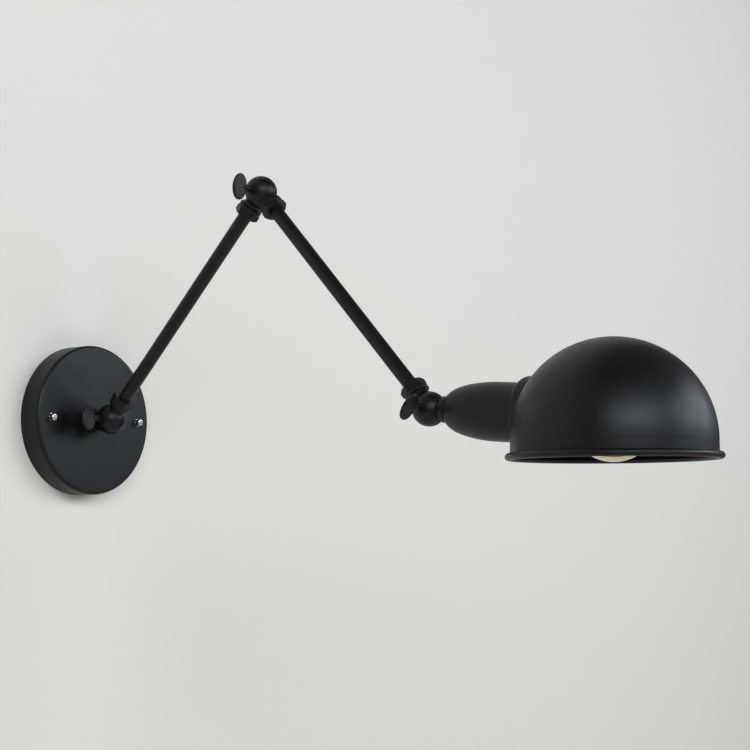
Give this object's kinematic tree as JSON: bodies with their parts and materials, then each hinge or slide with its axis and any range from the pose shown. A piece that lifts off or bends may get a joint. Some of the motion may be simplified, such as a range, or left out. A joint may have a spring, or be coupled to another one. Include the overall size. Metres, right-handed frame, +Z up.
{
  "type": "accordion wall lamp",
  "caption": "Wall lamp with round canopy, folding arms on clamped ball knuckles, egg-shaped lamp holder cup and dome shade with rolled rim.",
  "frame": {"origin": "on the wall plane, at the centre of the canopy and of the mounting bar", "axes": "+Z up, -Y out of the wall into the room, +X along the wall to the right as seen from the room; all three arm pivots turn about X"},
  "size_m": [0.1578, 0.6382, 0.2745],
  "materials": {
    "black_paint": "satin black paint",
    "chrome": "polished plating",
    "zinc_steel": "bright zinc plating",
    "brass": "machined",
    "black_phenolic": "moulded thermoset, slightly glossy",
    "holder_core": "moulded thermoset, off-white",
    "white_nylon": "moulded, natural",
    "bulb_glass": "clear, faintly amber",
    "stem_glass": "clear",
    "cap_aluminium": "rolled sheet",
    "insulator": "black, glassy",
    "nickel_wire": "drawn wire",
    "tungsten": "coiled wire shown as a plain arc"
  },
  "bodies": {
    "wall": {"canopy": "black_paint", "mounting_bar": "zinc_steel", "bar_screws": "zinc_steel", "bar_screw_nuts": "zinc_steel", "canopy_cap_nuts": "chrome", "earth_washer": "zinc_steel", "earth_screw": "brass", "terminal_block": "white_nylon", "terminal_sleeves": "brass", "terminal_screws": "zinc_steel", "terminal_fixing_screw": "zinc_steel", "base_knuckle_fixed": "black_paint", "canopy_collar": "black_paint", "canopy_washer": "zinc_steel", "canopy_nut": "zinc_steel", "base_friction_washer": "white_nylon"},
    "base_thumb": {"base_thumb_screw": "black_paint"},
    "arm_1": {"base_knuckle_moving": "black_paint", "arm1_base_nut": "black_paint", "arm1_tube": "black_paint", "arm1_elbow_nut": "black_paint", "elbow_knuckle_lower": "black_paint", "elbow_friction_washer": "white_nylon"},
    "elbow_thumb": {"elbow_thumb_screw": "black_paint"},
    "arm_2": {"elbow_knuckle_upper": "black_paint", "arm2_elbow_nut": "black_paint", "arm2_tube": "black_paint", "arm2_head_nut": "black_paint", "head_knuckle_arm": "black_paint", "head_friction_washer": "white_nylon"},
    "head_thumb": {"head_thumb_screw": "black_paint"},
    "head": {"head_knuckle_cup": "black_paint", "socket_cup": "black_paint", "cup_washer": "zinc_steel", "cup_nut": "zinc_steel", "holder_coupler": "zinc_steel", "holder_nipple": "zinc_steel", "holder_cap": "black_phenolic", "holder_insert": "holder_core", "holder_shell": "brass", "holder_contact": "brass", "holder_skirt": "black_phenolic", "shade_ring": "black_phenolic", "shade": "black_paint", "bulb_glass": "bulb_glass", "bulb_cap": "cap_aluminium", "bulb_insulator": "insulator", "bulb_contact": "brass", "bulb_stem": "stem_glass", "bulb_leads": "nickel_wire", "bulb_filament": "tungsten"}
  },
  "joints": [
    {"name": "base_pivot", "type": "hinge", "parent": "wall", "child": "arm_1", "pos_m": [0, -0.044, 0], "axis": [-1, 0, 0], "range_deg": [-134.4, 41.6]},
    {"name": "elbow_pivot", "type": "hinge", "parent": "arm_1", "child": "arm_2", "pos_m": [0, -0.22537, 0.19046], "axis": [-1, 0, 0], "range_deg": [-9, 199]},
    {"name": "head_tilt", "type": "hinge", "parent": "arm_2", "child": "head", "pos_m": [0, -0.3993, -0.00682], "axis": [-1, 0, 0], "range_deg": [-148, 60]},
    {"name": "base_thumb_turn", "type": "hinge", "parent": "wall", "child": "base_thumb", "pos_m": [0, -0.044, 0], "axis": [-1, 0, 0], "range_deg": [0, 270]},
    {"name": "elbow_thumb_turn", "type": "hinge", "parent": "arm_1", "child": "elbow_thumb", "pos_m": [0, -0.22537, 0.19046], "axis": [-1, 0, 0], "range_deg": [0, 270]},
    {"name": "head_thumb_turn", "type": "hinge", "parent": "arm_2", "child": "head_thumb", "pos_m": [0, -0.3993, -0.00682], "axis": [-1, 0, 0], "range_deg": [0, 270]}
  ]
}
